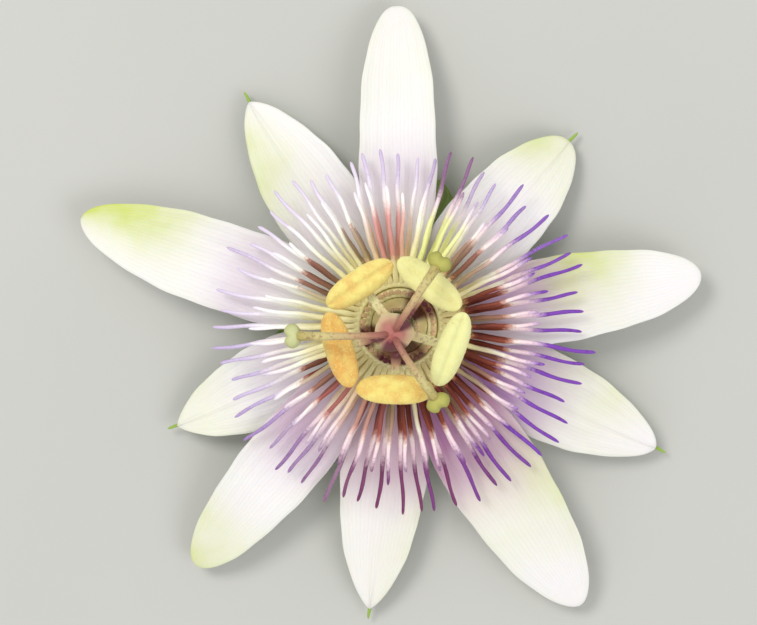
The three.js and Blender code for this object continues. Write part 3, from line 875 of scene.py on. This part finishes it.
def make_column(material):
    corners = [
        (0, CUP_TOP - SINK), (1.85, CUP_TOP - SINK), (1.5, SEAT + 0.9), (1.25, SEAT + 2.5),
        (1.2, COLUMN_TOP - 3), (1.5, COLUMN_TOP - 1), (1.58, COLUMN_TOP - 0.15), (1.3, COLUMN_TOP),
        (0, COLUMN_TOP),
    ]

    def ribs(angle, height):
        return 1 + 0.035 * np.cos(5 * angle + 0.3 * height)

    make_lathe("androgynophore", corners, material, ribs)


def make_ovary(material):
    bottom = COLUMN_TOP + CLEARANCE
    corners = [
        (0, COLUMN_TOP - SINK), (1.3, COLUMN_TOP - SINK), (1.5, bottom), (2.25, bottom + 1.1),
        (2.65, bottom + 2.7), (2.55, bottom + 4.1), (1.95, bottom + 5.4), (1.2, OVARY_TOP - 0.15),
        (0, OVARY_TOP),
    ]

    def lobes(angle, height):
        return 1 + 0.035 * np.cos(3 * angle) - 0.03 * np.abs(np.sin(3 * angle)) ** 8

    make_lathe("ovary", corners, material, lobes, sides=96)


def make_pedicel(material):
    radius, bottom, top = PEDICEL.radius, PEDICEL.bottom, PEDICEL.top
    corners = [
        (0, bottom), (radius * 0.9, bottom), (radius, bottom + 0.2), (radius, top - 1.2),
        (radius * 1.2, top - 0.3), (radius * 1.28, CUP_BOTTOM + SINK), (0, CUP_BOTTOM + SINK),
    ]

    def ridges(angle, height):
        return 1 + 0.03 * np.cos(7 * angle)

    make_lathe("pedicel", corners, material, ridges, sides=60, steps=6)


def make_receptacle(material):
    corners = [
        (0, CUP_BOTTOM), (2.4, CUP_BOTTOM), (5.2, CUP_BOTTOM + 0.5), (7.2, CUP_BOTTOM + 1.4),
        (CUP_RADIUS - 0.25, CUP_BOTTOM + 2.4), (CUP_RADIUS - 0.05, CUP_BOTTOM + 3.4),
        (CUP_RADIUS - 0.05, CUP_TOP - 0.5), (CUP_RADIUS - 0.5, CUP_TOP - 0.05),
        (5.2, CUP_TOP - 0.05), (4.0, CUP_TOP - 0.12), (2.4, CUP_TOP - 0.05), (0, CUP_TOP - 0.05),
    ]

    def swells(angle, height):
        return 1 + 0.006 * np.cos(10 * angle) - 0.004

    make_lathe("receptacle", corners, material, swells, sides=120, steps=6)


def make_stamen_filament(index, stamen, material):
    size = STAMEN_FILAMENT
    name = f"stamen_filament_{index + 1}"

    def middle(u, v):
        y = size.width / 2 * blend(1, 0.72, u) * v
        x = blend(size.root - 0.8, size.end, u)
        rise = (ANTHER.depth * 0.45 + stamen.lift) * smooth(0.78, 1.0, u)
        z = bezier(size.height, size.arch, size.height, u) + rise - 0.06 * (1 - v * v)
        return x, y, z

    def depth(u, v):
        return size.thickness * 0.95 * rim(u, v, 0.04, 0.01)

    shape = Shape()
    points, faces, u, _, _ = blade(*size.mesh, middle, depth)
    # The crown's patches of painted shade darken the roots of the stamens standing in them.
    shape.add(points, faces, along=u, tone=patchiness(stamen.azimuth, CROWN_SHADE_PATCHES))
    shape.make(name, material, [name], stamen.azimuth)


def make_anther(index, stamen, material):
    """A long two-lobed anther lying across its filament, furrowed and rough with pollen."""
    name = f"anther_{index + 1}"
    stations, sides = ANTHER.stations, ANTHER.sides
    s = np.sin(np.linspace(-1, 1, stations) * math.pi / 2)
    angle = circle(sides)
    swell = np.sqrt(np.clip(1 - np.abs(s) ** 2.6, 0.0004, 1))
    dent = 1 - ANTHER.furrow * ridge(np.cos(angle), 0.26) * (np.sin(angle) > 0)
    dent = dent - ANTHER.groove * ridge(np.cos(angle), 0.35) * (np.sin(angle) < 0)
    rings = np.stack([
        np.outer(-ANTHER.width / 2 * swell, np.cos(angle)),
        np.outer(ANTHER.length / 2 * s, np.ones(sides)),
        np.outer(ANTHER.depth / 2 * swell, np.sin(angle) * dent),
    ], axis=-1)
    outward = rings * np.array([1.0, 0.1, 1.0])
    outward /= np.maximum(np.linalg.norm(outward, axis=-1, keepdims=True), 1e-6)
    crust = sum(deep * rough(rings, size, index + seed) for deep, size, seed in CRUST)
    rings = rings + outward * (crust * swell[:, None])[..., None] * 0.8 - outward * 0.05
    points, faces = skin(rings)
    upper = smooth(-0.55, 0.1, np.append(np.tile(np.sin(angle), stations), [0, 0]))
    ripe = np.clip(stamen.ripe * (0.35 + 0.75 * upper), 0, 1)
    roll = math.radians(stamen.roll)
    x = points[:, 0] * math.cos(roll) + points[:, 2] * math.sin(roll)
    z = -points[:, 0] * math.sin(roll) + points[:, 2] * math.cos(roll)
    placed = turned(np.stack([x, points[:, 1], z], axis=-1), stamen.yaw)
    placed = placed + np.array([ANTHER_RADIUS, 0, ANTHER_HEIGHT + stamen.lift])
    shape = Shape()
    shape.add(placed, faces, ripe=ripe, warm=stamen.warm)
    add_pollen(shape, placed, index, stamen)
    shape.make(name, material, [name], stamen.azimuth)


def add_pollen(shape, placed, index, stamen):
    """Loose grains of pollen on the upper face of an anther."""
    ball, faces = skin(lathe([(0.5, -0.8), (0.95, -0.3), (0.95, 0.3), (0.5, 0.8)], 6))
    count = round(POLLEN.count * stamen.ripe)
    for i in range(count):
        station = round(ANTHER.stations * (0.12 + 0.76 * draw(i, POLLEN.seed + index)))
        side = round(ANTHER.sides * (0.03 + 0.44 * draw(i, POLLEN.seed + index + 9)))
        size = blend(POLLEN.small, POLLEN.large, draw(i, POLLEN.seed + index + 17) ** 2)
        grain = placed[station * ANTHER.sides + side] + size * ball
        shape.add(grain, faces, ripe=1.0, warm=stamen.warm * 0.8)


def make_style(index, tip, material):
    name = f"style_{index + 1}"
    root = np.array([STYLE.root - 0.1, 0, OVARY_TOP - 0.6])
    crest = np.array([STYLE.crest[0], 0, STYLE.crest[1]])
    knob = np.array([tip.radius, 0, STIGMA.height])
    back = crest - knob
    end = knob + back / np.linalg.norm(back) * (STIGMA.radial - 0.4)
    sides = STYLE.sides
    t = np.linspace(0, 1, STYLE.stations)
    path = bezier(root, crest, end, t[:, None])
    radius = bezier(STYLE.thickness, STYLE.waist * 0.8, STYLE.club, t) * 0.95
    radius = radius * (1 + 0.03 * np.sin(t * 60))
    radius[-1] *= 0.85
    angle = circle(sides)
    rings = sweep(path, radius, radius, sides)
    rings = path[:, None] + (rings - path[:, None]) * (1 + 0.05 * np.cos(6 * angle))[None, :, None]
    points, faces = skin(rings)
    shape = Shape()
    shape.add(points, faces, along=along_skin(t, sides))
    shape.make(name, material, [name], tip.azimuth)


def make_stigma(index, tip, material):
    """A two-lobed knob with fine papillae."""
    name = f"stigma_{index + 1}"
    sides = STIGMA.sides
    tilt = np.linspace(0.02, math.pi - 0.02, STIGMA.levels)
    angle = circle(sides)
    rings = np.stack([
        np.outer(np.sin(tilt), np.cos(angle)),
        np.outer(np.sin(tilt), np.sin(angle)),
        np.outer(-np.cos(tilt), np.ones(sides)),
    ], axis=-1)
    out = np.maximum(0, rings[..., 0] + 0.2)
    dent = 1 - STIGMA.furrow * ridge(rings[..., 1], 0.28) * out
    tall = STIGMA.papilla
    papillae = 0.965 + tall * rough(rings, 0.14, index) + tall * rough(rings, 0.06, index + 3)
    rings = rings * papillae[..., None]
    rings = rings * np.array([STIGMA.radial, STIGMA.tangential, STIGMA.vertical])
    rings[..., 0] *= dent
    rings[..., 2] *= dent
    points, faces = skin(rings)
    points = points + np.array([tip.radius, 0, STIGMA.height])
    along = (points[:, 2] - points[:, 2].min()) / np.ptp(points[:, 2])
    shape = Shape()
    shape.add(points, faces, along=along, tone=tip.tone)
    shape.make(name, material, [name], tip.azimuth)


def make_bract(index, material):
    name = f"bract_{index + 1}"
    rest = BRACT.thickness / 2

    def ribs(u, v):
        """Height of the midrib and of the side veins that leave it towards the tip."""
        slant = (u - 0.33 * np.abs(v)) * 9
        near = np.abs(slant - np.round(slant))
        return np.maximum(ridge(v, 0.045), 0.6 * ridge(near, 0.09) * smooth(0.02, 0.1, np.abs(v)))

    def middle(u, v):
        opening = np.maximum(0, np.sin(math.pi * u ** 0.85)) ** 0.8
        half = BRACT.width / 2 * opening + BRACT.root_half * (1 - u)
        half = np.maximum(half, 0.15)
        landing = smooth(0, BRACT.land, u)
        rising = np.maximum(0, u - BRACT.leave) / (1 - BRACT.leave)
        edge = np.maximum(0, np.abs(v) - BRACT.flat)
        x = blend(BRACT.root - 0.6, BRACT.reach, u)
        z = blend(BRACT.root_height, rest, landing) + BRACT.tip_rise * rising ** 2
        z = z + BRACT.cupping * edge * edge * u + BRACT.rib * ribs(u, v)
        return x, half * v, z

    def depth(u, v):
        return (BRACT.thickness - 0.08 + 2 * BRACT.rib * ribs(u, v)) * rim(u, v)

    shape = Shape()
    points, faces, u, v, _ = blade(*BRACT.mesh, middle, depth)
    points[:, 2] = np.maximum(points[:, 2], 0.0)
    shape.add(points, faces, vein=ribs(u, v))
    azimuth = BRACT.azimuth + 360 * index / BRACT.count
    shape.make(name, material, [name], azimuth)


# The view and the light

def facing(right, up, back, place):
    """The matrix of a camera or lamp at a place, looking away from back."""
    turn = np.eye(4)
    for column, axis in enumerate([right, up, back, place]):
        turn[:3, column] = axis
    return Matrix(turn.tolist())


def direction(azimuth, elevation):
    """The unit vector towards an azimuth and elevation in degrees."""
    azimuth, elevation = math.radians(azimuth), math.radians(elevation)
    flat = math.cos(elevation)
    return np.array([flat * math.cos(azimuth), flat * math.sin(azimuth), math.sin(elevation)])


def make_camera():
    """The photograph's view: from nearly straight above, a little to its upper right."""
    scale = 0.14  # millimetres to one pixel of the photograph, at the corona
    frame_width = 757
    flower_x, flower_y = 400, 325  # where the flower's axis meets the corona in the photograph
    middle_x, middle_y = 378.5, 312.5
    distance = 380.0
    target = AXIS / MM + np.array([(middle_x - flower_x) * scale, (flower_y - middle_y) * scale, 8.0])
    away = direction(azimuth=45, elevation=84)
    camera = bpy.data.cameras.new("camera")
    camera.sensor_fit = "HORIZONTAL"
    camera.sensor_width = 36
    camera.lens = camera.sensor_width * distance / (frame_width * scale)
    camera.clip_start = 0.01
    view = new_object("camera", camera)
    up = np.array([0, 1, 0]) - away * away[1]
    up /= np.linalg.norm(up)
    view.matrix_world = facing(np.cross(up, away), up, away, (target + distance * away) * MM)
    bpy.context.scene.camera = view
    return target * MM


def add_light(name, target, azimuth, elevation, distance, size, power, colour):
    lamp = bpy.data.lights.new(name, "AREA")
    lamp.shape = "DISK"
    lamp.size = size
    lamp.energy = power
    lamp.color = colour
    out = direction(azimuth, elevation)
    side = np.cross([0, 0, 1], out)
    side /= np.linalg.norm(side)
    place = target + out * distance
    new_object(name, lamp).matrix_world = facing(side, np.cross(out, side), out, place)


def make_stage(target):
    floor = bpy.data.meshes.new("floor")
    half, lower = 2.0, 0.02 * MM  # a hair lower than the bracts' flat undersides
    corners = [(-half, -half, 0), (half, -half, 0), (half, half, 0), (-half, half, 0)]
    floor.from_pydata(corners, [], [(0, 1, 2, 3)])
    s = Surface("floor_paper", roughness=0.85)
    cloud = s.noise(60.0, detail=3.0)
    floor.materials.append(s.finish(s.mix(cloud, "b9bab6", "c2c2be")))
    plane = new_object("floor", floor)
    plane.location = (0, 0, -lower)

    world = bpy.data.worlds.new("studio")
    world.use_nodes = True
    sky = world.node_tree.nodes["Background"]
    sky.inputs["Color"].default_value = (0.97, 0.97, 0.96, 1)
    sky.inputs["Strength"].default_value = 0.76
    bpy.context.scene.world = world
    add_light("key", target, azimuth=132, elevation=56, distance=0.7, size=0.3, power=2.2,
              colour=(1.0, 0.98, 0.94))
    add_light("fill", target, azimuth=-30, elevation=48, distance=0.8, size=0.5, power=1.7,
              colour=(0.98, 0.97, 0.98))
    bpy.context.scene.view_settings.view_transform = "Standard"


def make_flower():
    skins = {name: banded_material(name, **colours) for name, colours in BANDED.items()}
    petal_white = tepal_material("petal_white", "e6ead2", "f0f1e8")
    sepal_white = tepal_material("sepal_white", "8ba552", "a8bd76")
    for k, petal in enumerate(PETALS):
        make_tepal(f"petal_{k + 1}", PETAL_FORM, petal, petal_white, k)
    for k, sepal in enumerate(SEPALS):
        make_tepal(f"sepal_{k + 1}", SEPAL_FORM, sepal, sepal_white, k + len(PETALS))

    bands = corona_material()
    make_long_corona("corona_outer", OUTER_CORONA, bands)
    make_long_corona("corona_second", SECOND_CORONA, bands)
    make_inner_corona(skins["corona_dark"])
    make_operculum(skins["operculum_skin"])

    make_column(speckled_material("column_skin", "cfd49c", "bcc586", "8a5470", 0.5, 0.02))
    pollen = anther_material()
    for k, stamen in enumerate(STAMENS):
        make_stamen_filament(k, stamen, skins["stamen_filament_skin"])
        make_anther(k, stamen, pollen)
    make_ovary(skins["ovary_skin"])
    for k, tip in enumerate(STIGMAS):
        make_style(k, tip, skins["style_skin"])
        make_stigma(k, tip, skins["stigma_skin"])

    make_receptacle(skins["cup_skin"])
    make_pedicel(speckled_material("stem_green", "8fa557", "9fb266", "a9bb70", 0.9, 0.0))
    leaf = leaf_material()
    for k in range(BRACT.count):
        make_bract(k, leaf)


make_stage(make_camera())
make_flower()
